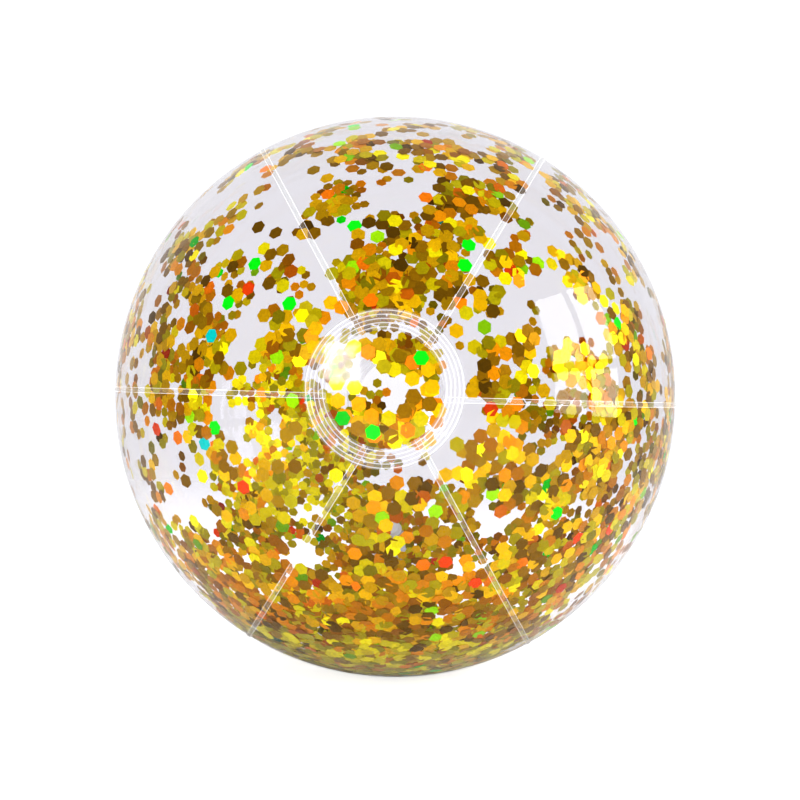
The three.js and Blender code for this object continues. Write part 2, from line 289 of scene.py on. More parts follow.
def clear_film(name, tint, roughness, waviness, haze=0.0):
    """Clear PVC: see-through, with a mirror sheen that grows towards the edge, and a little white haze."""
    sheen_ahead, sheen_at_edge, steepness = 0.012, 0.5, 5.0
    shader = new_shader(name)
    normal = bumped(shader, 55, waviness)
    through = shader.add("BsdfTransparent", {"Color": tint})
    mirror = shader.add("BsdfGlossy", {"Color": WHITE, "Roughness": roughness, "Normal": normal})
    grazing = shader.add("LayerWeight", {"Normal": normal})
    rise = shader.add("Math", {0: grazing.outputs["Facing"], 1: steepness}, operation="POWER")
    share = shader.stretch(rise.outputs[0], (0, 1), (sheen_ahead, sheen_at_edge))
    surface = shader.mix(share, through.outputs[0], mirror.outputs[0])
    if haze:
        milk = shader.add("BsdfDiffuse", {"Color": (0.9, 0.9, 0.92, 1)})
        surface = shader.mix(haze, surface, milk.outputs[0])
    return shader.finish(surface)


def edge_with_painted_glow(name, alpha, glow):
    """The edge of a clear film, or the ridge of a weld: milky, and bright with a painted glow, a white
    emission that stands in for the light it carries.
    """
    shader = new_shader(name)
    body = shader.add("BsdfPrincipled", {
        "Base Color": (0.92, 0.92, 0.94, 1),
        "Roughness": 0.3,
        "Alpha": alpha,
        # Painted glow: this white emission makes the edge shine as if it carried light.
        "Emission Color": WHITE,
        "Emission Strength": glow,
        "Normal": bumped(shader, 900, 0.2),
    })
    return shader.finish(body.outputs[0])


def foil(name, colour, metallic, darkest=0.35, lightest=1.2):
    """Holographic foil of one colour, lighter or darker on each flake, with a fine grating's speckle."""
    shader = new_shader(name)
    place = shader.add("TexCoord")
    cells = shader.add("TexVoronoi", {"Vector": place.outputs["Object"], "Scale": 1400})
    speckle = shader.stretch(cells.outputs["Color"], (0, 1), (0.85, 1.12))
    flake = shader.add("NewGeometry")
    level = shader.stretch(flake.outputs["Random Per Island"], (0, 1), (darkest, lightest))
    both = shader.add("Math", {0: speckle, 1: level}, operation="MULTIPLY")
    paint = shader.add("VectorMath", {0: linear(colour), "Scale": both.outputs[0]}, operation="SCALE")
    body = shader.add("BsdfPrincipled", {
        "Base Color": paint.outputs[0],
        "Metallic": metallic,
        "Roughness": 0.34,
        "Specular IOR Level": 0.15,
    })
    return shader.finish(body.outputs[0])


def vinyl():
    """Milky moulded vinyl, with a faint orange-peel surface and slight cloudiness."""
    shader = new_shader("valve_vinyl")
    place = shader.add("TexCoord")
    cloud = shader.add("TexNoise", {"Vector": place.outputs["Object"], "Scale": 260, "Detail": 3})
    tone = shader.add("MixRGB", {
        "Fac": cloud.outputs["Fac"],
        "Color1": (0.78, 0.79, 0.80, 1),
        "Color2": (0.88, 0.89, 0.91, 1),
    })
    body = shader.add("BsdfPrincipled", {
        "Base Color": tone.outputs["Color"],
        "Roughness": 0.28,
        "Alpha": 0.62,
        "Coat Weight": 0.3,
        "Normal": bumped(shader, 1200, 0.15),
    })
    return shader.finish(body.outputs[0])


def floor_material():
    """Matt pale grey, lifted towards white for the camera, and clear at the rim."""
    shader = new_shader("studio_floor")
    place = shader.add("TexCoord")
    length = shader.add("VectorMath", {0: place.outputs["Object"]}, operation="LENGTH")
    fade = shader.stretch(length.outputs["Value"], FLOOR_FADE, (0, 1), "SMOOTHSTEP")
    paint = shader.add("BsdfDiffuse", {"Color": (0.8, 0.8, 0.8, 1)})
    path = shader.add("LightPath")
    lift = shader.add("Math", {0: path.outputs["Is Camera Ray"], 1: FLOOR_LIFT}, operation="MULTIPLY")
    glow = shader.add("Emission", {"Strength": lift.outputs[0]})
    pale = shader.add("AddShader", {0: paint.outputs[0], 1: glow.outputs[0]})
    clear = shader.add("BsdfTransparent")
    return shader.finish(shader.mix(fade, pale.outputs[0], clear.outputs[0]))


# ---- Mesh helpers ----


def mesh_object(name, points, faces, materials, slots=None, sharp=None):
    """A mesh object. slots gives each face's material. With sharp, an angle in degrees, faces are shaded
    smooth and edges past that angle stay crisp."""
    mesh = bpy.data.meshes.new(name)
    mesh.from_pydata([tuple(p) for p in points], [], faces)
    for material in materials:
        mesh.materials.append(material)
    if slots is not None:
        mesh.polygons.foreach_set("material_index", slots)
    mesh.polygons.foreach_set("use_smooth", [sharp is not None] * len(faces))
    mesh.update()
    if sharp is not None:
        mesh.set_sharp_from_angle(angle=math.radians(sharp))
    made = bpy.data.objects.new(name, mesh)
    bpy.context.scene.collection.objects.link(made)
    return made


def on_sphere(radius, polar, azimuth):
    ring = radius * math.sin(polar)
    return Vector((ring * math.cos(azimuth), -radius * math.cos(polar), ring * math.sin(azimuth)))


def lerp(a, b, share):
    return a + (b - a) * share


def lathe(profile, segments):
    """Points and faces of a profile of (radius, height) turned about +Y. The profile is a closed loop, or it
    starts and ends on the axis."""
    on_axis = 1e-9
    points, faces, rows = [], [], []
    for radius, height in profile:
        if radius < on_axis:
            rows.append([len(points)] * segments)
            points.append(Vector((0, height, 0)))
            continue
        rows.append(list(range(len(points), len(points) + segments)))
        for i in range(segments):
            angle = 2 * math.pi * i / segments
            points.append(Vector((radius * math.cos(angle), height, radius * math.sin(angle))))
    closed = profile[0][0] > on_axis
    pairs = list(zip(rows, rows[1:] + rows[:1])) if closed else list(zip(rows, rows[1:]))
    for low, high in pairs:
        for i in range(segments):
            j = (i + 1) % segments
            corners = dict.fromkeys((low[i], high[i], high[j], low[j]))
            if len(corners) > 2:
                faces.append(tuple(corners))
    return points, faces


# ---- Film gores ----


def hole_edge(pole, azimuth):
    """The polar angle, from the Y axis, of the edge of the hole under a patch."""
    middle = math.asin(math.hypot(pole.x, pole.z))
    turn = azimuth - math.atan2(pole.z, pole.x)
    return middle * math.cos(turn) + math.sqrt(HOLE_ANGLE ** 2 - (middle * math.sin(turn)) ** 2)


def row_angle(share, azimuth):
    """The polar angle of a share of the way along a gore. Near its ends it follows the holes' edges."""
    fade_length = 0.35  # of the gore

    def fade(distance):
        return max(0.0, 1 - distance / fade_length) ** 2

    even = lerp(HOLE_ANGLE, math.pi - HOLE_ANGLE, share)
    front = (hole_edge(FRONT_POLE, azimuth) - HOLE_ANGLE) * fade(share)
    back = (hole_edge(BACK_POLE, azimuth) - HOLE_ANGLE) * fade(1 - share)
    return even + front - back


# The material slots of a gore, and of a patch.
FILM_SLOT, WELD_SLOT, EDGE_SLOT, GROOVE_SLOT = range(4)


def gore_section(first, last, columns):
    """A gore's cross-section. Each corner is (azimuth, distance beside it, radius, the next side's slot)."""
    half = SEAM_WIDTH / 2
    inside = BALL_RADIUS - FILM
    lap_inside = BALL_RADIUS + SEAM_GAP
    lap_outside = lap_inside + FILM
    between = [lerp(first, last, column / columns) for column in range(1, columns)]
    film, weld, edge, groove = FILM_SLOT, WELD_SLOT, EDGE_SLOT, GROOVE_SLOT
    corners = [(first, EDGE_GAP - half, BALL_RADIUS, weld), (first, half, BALL_RADIUS, film)]
    corners += [(azimuth, 0, BALL_RADIUS, film) for azimuth in between]
    corners += [
        (last, -half - FILM, BALL_RADIUS, edge),
        (last, -half - FILM, lap_outside, edge),
        (last, BEAD - half - FILM, lap_outside, groove),
        (last, 2 * BEAD - half - FILM, lap_outside, weld),
        (last, half - 2 * BEAD, lap_outside, groove),
        (last, half - BEAD, lap_outside, edge),
        (last, half, lap_outside, edge),
        (last, half, lap_inside, weld),
        (last, half - BEAD, lap_inside, weld),
        (last, half - 2 * BEAD, lap_inside, weld),
        (last, 2 * BEAD - half, lap_inside, weld),
        (last, BEAD - half, lap_inside, weld),
        (last, -half, lap_inside, edge),
        (last, -half, inside, film),
    ]
    corners += [(azimuth, 0, inside, film) for azimuth in reversed(between)]
    corners += [(first, half, inside, weld), (first, EDGE_GAP - half, inside, edge)]
    return corners


def make_gore(number, materials):
    rows, columns = 110, 24
    step = 2 * math.pi / GORES
    section = gore_section(number * step, (number + 1) * step, columns)
    size = len(section)
    points, faces, slots = [], [], []
    for row in range(rows + 1):
        for azimuth, beside, radius, _ in section:
            polar = row_angle(row / rows, azimuth)
            point = on_sphere(radius, polar, azimuth + beside / (BALL_RADIUS * math.sin(polar)))
            flat = FLOOR + max(0, BALL_RADIUS - radius)  # the ball stands on it
            point.z = max(point.z, flat)
            points.append(point)
    for row in range(rows):
        for i in range(size):
            j = (i + 1) % size
            a, b = row * size + i, row * size + j
            faces.append((a, a + size, b + size, b))
            slots.append(section[i][3])
    for row in (0, rows):
        # Each end is closed by faces from the film's outside to its inside.
        start = row * size
        for i in range(size // 2 - 1):
            a, b = start + i, start + i + 1
            c, d = start + size - 2 - i, start + size - 1 - i
            faces.append((a, b, c, d) if row == 0 else (d, c, b, a))
            slots.append(EDGE_SLOT)
    name = f"film_gore_{number + 1}"
    made = mesh_object(name, points, faces, materials, slots, sharp=40)
    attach(made, "ball")
    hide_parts(f"gore_{number + 1}")


# ---- End patches ----


def make_patch(name, node, pole, materials):
    """A cap of film with rounded weld ribs round its edge."""
    steps, across_rib, segments = 24, 8, 128
    outside = PATCH_INSIDE + FILM
    profile, bands = [], []

    def add(radius, angle, band):
        profile.append((radius * math.sin(angle), radius * math.cos(angle)))
        bands.append(band)

    for i in range(steps + 1):
        add(PATCH_INSIDE, PATCH_ANGLE * i / steps, FILM_SLOT)
    rib_steps = WELD_RIBS * across_rib
    for i in range(rib_steps + 1):
        wave = (0.5 - 0.5 * math.cos(2 * math.pi * i / across_rib)) ** 2
        # Rib crests take the edge material, so they shine with a painted glow.
        crest = across_rib // 2 - 1 <= i % across_rib <= across_rib // 2
        angle = lerp(PATCH_ANGLE, HOLE_ANGLE, i / rib_steps)
        add(outside + RIB_HEIGHT * wave, angle, EDGE_SLOT if crest else WELD_SLOT)
    bands[-1] = FILM_SLOT
    for i in range(1, steps + 1):
        add(outside, HOLE_ANGLE * (1 - i / steps), FILM_SLOT)
    points, faces = lathe(profile, segments)
    turn = Vector((0, 1, 0)).rotation_difference(pole).to_matrix()
    points = [turn @ p for p in points]
    slots = []
    for band in bands[:-1]:
        slots += [band] * segments
    made = mesh_object(name, points, faces, materials, slots, sharp=60)
    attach(made, "ball")
    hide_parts(node)


# ---- Valve, in its own frame: Y points out of the ball, and the gore's outside is at 0 ----

LATHE_SEGMENTS = 96
STEM_RADIUS = 4.8 * MM
STEM_BORE = 3.2 * MM
STEM_END = -15.0 * MM
STEM_EDGE = 0.2 * MM  # chamfer at both ends of the bore
BEAD_STEP = 0.8 * MM
BEAD_ROUNDING = 0.5 * MM
FLANGE_BORE = 5.1 * MM
FLANGE_RADIUS = 13 * MM
FLANGE_HEIGHT = 0.8 * MM
FLANGE_ROUNDING = 0.35 * MM
FLANGE_SLOPE = 1.8 * MM  # from the flange's edge to its full height
FLANGE_RING = 0.12 * MM  # height of the moulded rings
COLLAR_RADIUS = 6.1 * MM
COLLAR_DEPTH = 3 * MM
RIM_RADIUS = 6.0 * MM
RIM_BOTTOM, RIM_TOP = 1.2 * MM, 2.0 * MM
RIM_ROUNDING = 0.25 * MM
LUG_WIDTH = 3.4 * MM
LUG_END = 8.2 * MM
LID_BOTTOM, LID_TOP = 2.3 * MM, 3.2 * MM
LID_RADIUS = 4.6 * MM
LID_ROUNDING, LID_UNDER_ROUNDING = 0.3 * MM, 0.2 * MM
PLUG_FIT = 0.3 * MM  # between the plug and the bore
PLUG_TAPER = 0.7 * MM
PLUG_LENGTH = 3.5 * MM
TAB_WIDTH = 3.6 * MM
TAB_REACH = 2.6 * MM
STRAP_WIDTH = 3 * MM
STRAP_PINCH = 0.55 * MM  # half the length of the strap's thin middle
FLAP_LAP = 0.7 * MM
FLAP_HEIGHT = 0.4 * MM
FLAP_TAIL_WIDTH = 2.4 * MM
ROOTING = 0.6 * MM  # how far a lug, tab or tail reaches into the round part that carries it
HINGE = Vector((0, 2.75, 7.3)) * MM


def valve_frame():
    """The matrix from the valve's own frame to the ball's."""
    out = Vector(joint("stem_slide")["axis"]).normalized()
    across = Vector((1, 0, 0))
    matrix = Matrix((across, out, across.cross(out))).transposed().to_4x4()
    return Matrix.Translation(out * BALL_RADIUS) @ matrix


def flange_under(distance):
    """The height of the flange's underside, which follows the film, at a distance from the valve's axis."""
    return math.sqrt((BALL_RADIUS + PATCH_GAP) ** 2 - distance ** 2) - BALL_RADIUS


def arc(centre, radius, start, end, steps=6):
    """Points of (radius, height) along an arc, from one angle to another in degrees."""
    turns = [math.radians(lerp(start, end, i / steps)) for i in range(steps + 1)]
    return [(centre[0] + radius * math.cos(t), centre[1] + radius * math.sin(t)) for t in turns]


def slab(outline, width):
    """A flat bar: an outline of (height, length) points carried across by its width."""
    count = len(outline)
    points = [Vector((side * width / 2, y, z)) for side in (-1, 1) for y, z in outline]
    faces = [tuple(range(count)), tuple(reversed(range(count, 2 * count)))]
    for i in range(count):
        j = (i + 1) % count
        faces.append((i, i + count, j + count, j))
    return points, faces


def valve_piece(name, shape, material, body, bevel=0.0):
    """A piece of the valve in its place on the ball, riding on a body when one is given, with its sharp
    edges rounded when a bevel is given.
    """
    sharp, steep = 35, 0.9  # degrees that stay crisp, and radians past which an edge is rounded
    points, faces = shape
    made = mesh_object(name, points, faces, [material], sharp=sharp)
    shell = bmesh.new()
    shell.from_mesh(made.data)
    bmesh.ops.recalc_face_normals(shell, faces=shell.faces)
    if bevel:
        edges = [e for e in shell.edges if e.is_manifold and e.calc_face_angle() > steep]
        bmesh.ops.bevel(shell, geom=edges, offset=bevel, segments=2, affect="EDGES", clamp_overlap=True)
    shell.to_mesh(made.data)
    shell.free()
    made.data.transform(valve_frame())
    made.data.polygons.foreach_set("use_smooth", [True] * len(made.data.polygons))
    made.data.set_sharp_from_angle(angle=math.radians(sharp))
    made.data.update()
    if body:
        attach(made, body)
    return made


def make_flange(material):
    under_steps, top_steps, ring_steps = 8, 13, (4, 6)  # the moulded rings are at two of the top's steps
    top = flange_under(FLANGE_BORE) + FLANGE_HEIGHT
    edge = FLANGE_ROUNDING
    profile = arc((FLANGE_BORE + edge, top - edge), edge, 180, 90)[::-1]
    profile += [(FLANGE_BORE, -COLLAR_DEPTH), (COLLAR_RADIUS, -COLLAR_DEPTH)]
    for i in range(under_steps + 1):
        distance = lerp(COLLAR_RADIUS, FLANGE_RADIUS, i / under_steps)
        profile.append((distance, flange_under(distance)))
    rim = flange_under(FLANGE_RADIUS)
    profile += arc((FLANGE_RADIUS - edge, rim + edge), edge, 0, 90)
    for i in range(1, top_steps + 1):
        distance = lerp(FLANGE_RADIUS - 2 * edge, FLANGE_BORE + 2 * edge, i / top_steps)
        lift = min(1.0, (FLANGE_RADIUS - distance) / FLANGE_SLOPE)
        ring = FLANGE_RING if i in ring_steps else 0.0
        profile.append((distance, flange_under(distance) + lerp(2 * edge, FLANGE_HEIGHT, lift) + ring))
    made = valve_piece("valve_flange_disc", lathe(profile, LATHE_SEGMENTS), material, "ball")
    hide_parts("valve_flange")


def make_stem(material):
    bead = STEM_RADIUS + BEAD_STEP
    shoulder = STEM_END + 1.2 * MM
    neck = STEM_END + 2.5 * MM
    profile = [(STEM_BORE, RIM_TOP - STEM_EDGE), (STEM_BORE, STEM_END + STEM_EDGE)]
    profile += [(STEM_BORE + STEM_EDGE, STEM_END)]
    profile += arc((bead - BEAD_ROUNDING, STEM_END + BEAD_ROUNDING), BEAD_ROUNDING, -90, 0)
    profile += [(bead, shoulder), (STEM_RADIUS + 0.2 * MM, neck - 0.4 * MM)]
    profile += [(STEM_RADIUS, neck), (STEM_RADIUS, RIM_BOTTOM)]
    profile += arc((RIM_RADIUS - RIM_ROUNDING, RIM_BOTTOM + RIM_ROUNDING), RIM_ROUNDING, -90, 0, 3)
    profile += arc((RIM_RADIUS - RIM_ROUNDING, RIM_TOP - RIM_ROUNDING), RIM_ROUNDING, 0, 90, 3)
    profile += [(STEM_BORE + STEM_EDGE, RIM_TOP)]
    root = RIM_RADIUS - ROOTING
    lug = [(RIM_BOTTOM, root), (RIM_TOP, root), (RIM_TOP, LUG_END), (RIM_BOTTOM, LUG_END)]
    tube = valve_piece("valve_stem_tube", lathe(profile, LATHE_SEGMENTS), material, "stem")
    valve_piece("valve_stem_lug", slab(lug, LUG_WIDTH), material, "stem", bevel=0.2 * MM)
    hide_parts("valve_stem")


def make_plug(material):
    top = STEM_BORE - PLUG_FIT
    tip = top - PLUG_TAPER
    bottom = LID_BOTTOM - PLUG_LENGTH
    profile = [(0, LID_TOP)]
    above, under = LID_ROUNDING, LID_UNDER_ROUNDING
    profile += arc((LID_RADIUS - above, LID_TOP - above), above, 90, 0, 4)
    profile += arc((LID_RADIUS - under, LID_BOTTOM + under), under, 0, -90, 3)
    profile += [(top + 0.1 * MM, LID_BOTTOM), (top, LID_BOTTOM - 0.2 * MM), (top, LID_BOTTOM - 0.9 * MM)]
    profile += [(tip, bottom + 0.3 * MM), (tip - 0.3 * MM, bottom), (0, bottom)]
    root, reach = LID_RADIUS - ROOTING, LID_RADIUS + TAB_REACH
    low, high = LID_BOTTOM + 0.1 * MM, LID_TOP - 0.1 * MM
    tab = [(low, -root), (low, -reach + 0.2 * MM), (low + 0.1 * MM, -reach)]
    tab += [(high + 0.2 * MM, -reach), (high + 0.2 * MM, -reach + 0.5 * MM), (high, -reach + 0.7 * MM)]
    tab += [(high, -root)]
    lid = valve_piece("valve_plug_lid", lathe(profile, LATHE_SEGMENTS), material, "stopper")
    valve_piece("valve_plug_tab", slab(tab, TAB_WIDTH), material, "stopper", bevel=0.12 * MM)
    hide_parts("valve_plug")


def make_strap(material):
    """The strap, from a foot on the stem's lug to the stopper's lid, pinched thin at its middle."""
    steps, bend = 40, 0.5 * MM
    inner, outer = LID_RADIUS - 0.3 * MM, LUG_END - 0.05 * MM
    top, bottom = LID_TOP - 0.1 * MM, LID_BOTTOM + 0.1 * MM
    cut_above, cut_below = 0.22 * MM, 0.2 * MM  # how deep the strap is pinched at its thinnest
    above, below = [], []
    for i in range(steps + 1):
        z = lerp(inner, outer, i / steps)
        pinch = max(0.0, 1 - ((z - HINGE.z) / STRAP_PINCH) ** 2)
        above.append((top - cut_above * pinch, z))
        below.append((RIM_TOP if z > HINGE.z + bend else bottom + cut_below * pinch, z))
    made = valve_piece("valve_strap", slab(above + below[::-1], STRAP_WIDTH), material, None)
    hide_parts("plug_strap")
    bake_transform(made)


def make_flap(material):
    radius, top = STEM_BORE + FLAP_LAP, STEM_END - 0.3 * MM
    half = FLAP_HEIGHT / 2
    low = top - FLAP_HEIGHT
    profile = [(0, top)] + arc((radius - half, top - half), half, 90, -90) + [(0, low)]
    root = radius - ROOTING
    tail = [(low, root), (top, root), (top, radius + 0.5 * MM)]
    tail += [(top - half, radius + 0.9 * MM), (low, radius + 0.5 * MM)]
    disc = valve_piece("check_flap_disc", lathe(profile, LATHE_SEGMENTS), material, "flap")
    valve_piece("check_flap_tail", slab(tail, FLAP_TAIL_WIDTH), material, "flap")
    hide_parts("check_flap")


# ---- Confetti ----

# Clusters of flakes that cling to the film: x and z of the middle and the cluster's size, in
# ball radii, and how full it is. The near ones are on the front half of the ball, the far ones on the back.
NEAR_CLUSTERS = [
    (-0.50, 0.12, 0.08, 0.7), (-0.58, 0.24, 0.08, 0.7), (-0.60, 0.04, 0.08, 0.9),
    (-0.58, -0.10, 0.10, 0.75), (-0.54, -0.20, 0.08, 0.7), (-0.22, 0.48, 0.06, 0.6),
    (-0.30, 0.20, 0.08, 0.85), (-0.44, 0.48, 0.04, 0.6), (-0.10, 0.34, 0.08, 0.9),
    (0.00, 0.30, 0.08, 0.9), (-0.20, 0.56, 0.06, 0.8), (-0.12, 0.76, 0.10, 0.9), (-0.30, 0.76, 0.06, 0.6),
    (-0.56, 0.58, 0.08, 0.4), (-0.64, 0.44, 0.12, 0.6), (0.12, 0.74, 0.12, 0.7), (0.22, 0.62, 0.10, 0.85),
    (0.38, 0.76, 0.18, 0.6), (0.08, 0.46, 0.10, 0.75), (0.18, 0.48, 0.08, 0.85), (0.12, 0.34, 0.06, 0.7),
    (0.34, 0.40, 0.08, 0.8), (0.28, 0.28, 0.06, 0.8), (0.24, 0.18, 0.08, 0.65), (0.54, 0.36, 0.06, 0.85),
    (0.64, 0.58, 0.12, 0.7), (0.76, 0.44, 0.12, 0.45), (0.70, 0.20, 0.12, 0.7), (0.56, 0.06, 0.12, 0.8),
    (0.76, 0.04, 0.16, 0.6), (0.24, 0.04, 0.04, 0.5), (-0.30, -0.20, 0.10, 0.5),
    (-0.48, -0.38, 0.10, 0.8), (-0.34, -0.46, 0.04, 0.9), (-0.56, -0.56, 0.18, 0.8),
    (-0.74, -0.32, 0.14, 0.5), (0.02, -0.62, 0.16, 0.95), (-0.14, -0.68, 0.18, 0.95),
    (0.24, -0.64, 0.18, 0.95), (0.04, -0.42, 0.12, 0.55), (-0.02, -0.54, 0.09, 0.97),
    (0.56, -0.20, 0.14, 0.9), (0.66, -0.12, 0.16, 0.85), (0.40, -0.40, 0.14, 0.85),
    (0.82, -0.08, 0.30, 0.5), (0.78, -0.28, 0.20, 0.5), (0.22, -0.20, 0.10, 0.75),
    (0.58, -0.52, 0.20, 0.75), (0.50, -0.66, 0.20, 0.6), (-0.74, 0.10, 0.14, 0.6),
    (0.04, -0.30, 0.08, 0.5), (0.00, -0.84, 0.30, 0.95), (-0.34, -0.66, 0.20, 0.9),
    (0.30, -0.80, 0.20, 0.9), (-0.90, 0.18, 0.14, 0.7), (-0.70, -0.50, 0.16, 0.7),
    (0.02, 0.91, 0.12, 0.6), (0.24, 0.90, 0.12, 0.6), (-0.50, 0.74, 0.12, 0.65), (-0.36, 0.76, 0.06, 0.5),
    (-0.88, 0.36, 0.10, 0.6), (-0.35, 0.37, 0.06, 0.7), (0.88, -0.18, 0.14, 0.85),
    (0.74, -0.38, 0.14, 0.75), (-0.56, -0.72, 0.12, 0.8), (0.30, -0.06, 0.10, 0.6),
    (0.36, 0.12, 0.08, 0.65), (0.34, -0.18, 0.10, 0.6), (-0.02, -0.40, 0.08, 1.0),
    (0.97, 0.10, 0.22, 0.5), (0.95, -0.26, 0.18, 0.55),
]
FAR_CLUSTERS = [
    (-0.42, -0.24, 0.26, 0.95), (-0.52, 0.00, 0.18, 0.9), (-0.26, -0.36, 0.22, 0.9),
    (-0.74, 0.42, 0.18, 0.55), (-0.78, 0.22, 0.14, 0.5), (-0.02, -0.70, 0.34, 0.9),
    (-0.04, 0.48, 0.20, 0.9), (0.10, 0.70, 0.22, 0.65), (-0.20, 0.82, 0.16, 0.5),
    (0.68, 0.00, 0.24, 0.65), (0.86, -0.10, 0.22, 0.6), (0.48, -0.38, 0.22, 0.5),
    (0.56, -0.66, 0.30, 0.7), (0.14, -0.62, 0.26, 0.9), (0.20, 0.28, 0.14, 0.5), (-0.86, 0.36, 0.16, 0.5),
    (0.54, 0.30, 0.16, 0.4), (-0.14, -0.22, 0.14, 0.9), (0.05, -0.24, 0.12, 0.85),
    (0.00, 0.20, 0.12, 0.85), (-0.34, 0.16, 0.14, 0.8), (-0.56, -0.56, 0.22, 0.9),
    (0.00, -0.86, 0.30, 0.95), (-0.90, 0.00, 0.20, 0.6), (0.96, -0.05, 0.24, 0.55),
    (0.94, 0.28, 0.14, 0.5), (0.90, -0.36, 0.18, 0.6),
]

CLING_DEPTH = 0.35 * MM  # from the film to the first flakes
CLING_LAYER = 0.5 * MM  # how much deeper the last ones lie
CLING_SPACING = 4.2 * MM  # between middles where flakes are sparse
CLING_CROWDING = 0.45  # share of that spacing lost in the fullest clusters
CLING_TILT = math.radians(3.2)
CLING_TRIES = 60000
CLUMP_SIZE = 8  # of the noise that breaks clusters into clumps: higher is finer
CLUMP_PLACE = Vector((3.1, 7.7, 1.9))
CLUMP_NOISE = (0.6, 2.2, 4)  # its roughness, how much finer each layer is than the last, and the layers
CLUMP_FRAY = 0.05  # spread of the chance that is added to it
SPARSEST = 0.72  # the noise that a clump needs where there is no cluster
FULLEST = 1.28  # by how much a full cluster lowers that
CLUSTER_EDGE = 1.6  # where a cluster ends, in its own sizes: it is full up to one less than this
BASE_FULLNESS = 0.12
BOTTOM_LEVEL, BOTTOM_RISE = 0.72, 3  # below this share of the radius, flakes gather this fast
VALVE_CLEARANCE = 0.078  # radians round the valve that flakes leave free
POCKET_CLEARANCE = 0.02  # radians past the front hole
ACCENT_CLEARANCE = 1.2 * FLAKE_RADIUS  # from a single flake of the CAD model

# Foils: colour, metallic share, and how many of each there are, as weights.
PALETTE = {
    "gold": ((255, 200, 0), 0.55, 40),
    "deep": ((248, 160, 0), 0.55, 18),
    "bronze": ((165, 120, 0), 0.6, 8),
    "olive": ((225, 205, 0), 0.55, 20),
    # Orange, green and cyan are partly the holographic foil's own colours and partly painted highlights: its
    # diffraction glints, fixed in as even colours.
    "orange": ((255, 135, 0), 0.3, 4),
    "lemon": ((255, 240, 0), 0.3, 11),
    "lime": ((170, 240, 0), 0.3, 2.4),
    "green": ((0, 255, 20), 0.2, 0.5),
    "cyan": ((0, 215, 205), 0.2, 0.15),
    "red": ((250, 80, 10), 0.3, 1.0),
}


def hexagon(points, faces, slots, place, normal, spin, slot):
    """Adds one flake, a thin hexagonal prism, to the lists of a growing mesh."""
    sides = 6
    side = normal.orthogonal().normalized()
    other = normal.cross(side)
    start = len(points)
    for height in (-0.5, 0.5):
        middle = place + normal * FLAKE_THICKNESS * height
        for i in range(sides):
            angle = spin + 2 * math.pi * i / sides
            points.append(middle + (side * math.cos(angle) + other * math.sin(angle)) * FLAKE_RADIUS)
    faces.append(tuple(start + i for i in reversed(range(sides))))
    faces.append(tuple(start + sides + i for i in range(sides)))
    for i in range(sides):
        j = (i + 1) % sides
        faces.append((start + i, start + j, start + sides + j, start + sides + i))
    slots.extend([slot] * (sides + 2))


def favoured(unit, chance):
    """The colour that a part of the ball is given more of: lemon at the far left and the bottom, painted
    light that makes flakes there lighter, bronze at the front, painted shade that makes flakes there darker,
    and deep gold low at the front."""
    # Lemon at the far left and the bottom is painted light: lighter flakes where more light reaches them.
    far_left = unit.y > 0 and -0.8 < unit.x < -0.1 and abs(unit.z + 0.15) < 0.4
    if far_left and chance < 0.4:
        return "lemon"
    if unit.z < -0.76 and chance < 0.5:
        return "lemon"
    # Bronze at the front is painted shade: darker flakes where they face the dark front of the studio.
    if unit.y < 0 and chance < 0.14:
        return "bronze"
    if unit.y < 0 and -0.75 < unit.z < -0.45 and chance < 0.35:
        return "deep"
    return None


class Flakes:
    """Flakes that make one piece, in the palette's colours."""

    def __init__(self, name, foils, seed):
        self.name = name
        self.foils = foils
        self.random = random.Random(seed)
        self.points, self.faces, self.slots = [], [], []
        self.names = list(PALETTE)
        self.weights = [weight for _, _, weight in PALETTE.values()]

    def add(self, place, normal, tilt, colour=None):
        lean = Vector((self.random.gauss(0, 1), self.random.gauss(0, 1), self.random.gauss(0, 1)))
        facing = (normal + lean * math.tan(tilt)).normalized()
        chosen = colour or self.random.choices(self.names, self.weights)[0]
        spin = self.random.uniform(0, math.pi / 3)
        hexagon(self.points, self.faces, self.slots, place, facing, spin, self.names.index(chosen))

    def finish(self, body, slot, *nodes):
        """Makes the piece, which rides on a body and stands for the nodes that are named."""
        made = mesh_object(self.name, self.points, self.faces, self.foils, self.slots)
        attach(made, body)
        if nodes:
            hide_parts(*nodes)


def fullness(place):
    """How full of flakes the film is at a place on the ball, from 0 to 1."""
    unit = place.normalized()
    clusters = NEAR_CLUSTERS if unit.y < 0 else FAR_CLUSTERS
    full = BASE_FULLNESS + BOTTOM_RISE * max(0.0, -unit.z - BOTTOM_LEVEL)
    for x, z, size, share in clusters:
        depth = math.sqrt(max(0.0, 1 - x * x - z * z))
        middle = Vector((x, -depth if unit.y < 0 else depth, z)).normalized()
        distance = (unit - middle).length / size
        full = max(full, share * max(0.0, min(1.0, CLUSTER_EDGE - distance)))
    return full


def clinging_places():
    """Places on the inside of the film, spread evenly and then thinned into branching clumps."""
    chooser = random.Random(5)
    taken = {}
    places = []
    radius = BALL_RADIUS - FILM - CLING_DEPTH
    for _ in range(CLING_TRIES):
        y = chooser.uniform(-1, 1)
        angle = chooser.uniform(0, 2 * math.pi)
        ring = math.sqrt(1 - y * y)
        unit = Vector((ring * math.cos(angle), y, ring * math.sin(angle)))
        place = unit * radius
        full = fullness(place)
        clump = noise.fractal(unit * CLUMP_SIZE + CLUMP_PLACE, *CLUMP_NOISE)
        if clump + chooser.gauss(0, CLUMP_FRAY) < SPARSEST - FULLEST * full:
            continue
        cell = tuple(int(math.floor(c / CLING_SPACING)) for c in place)
        around = product(*((c - 1, c, c + 1) for c in cell))
        gap = CLING_SPACING * (1.0 - CLING_CROWDING * full)
        if any((place - other).length < gap for key in around for other in taken.get(key, ())):
            continue
        taken.setdefault(cell, []).append(place)
        places.append(place)
    return places


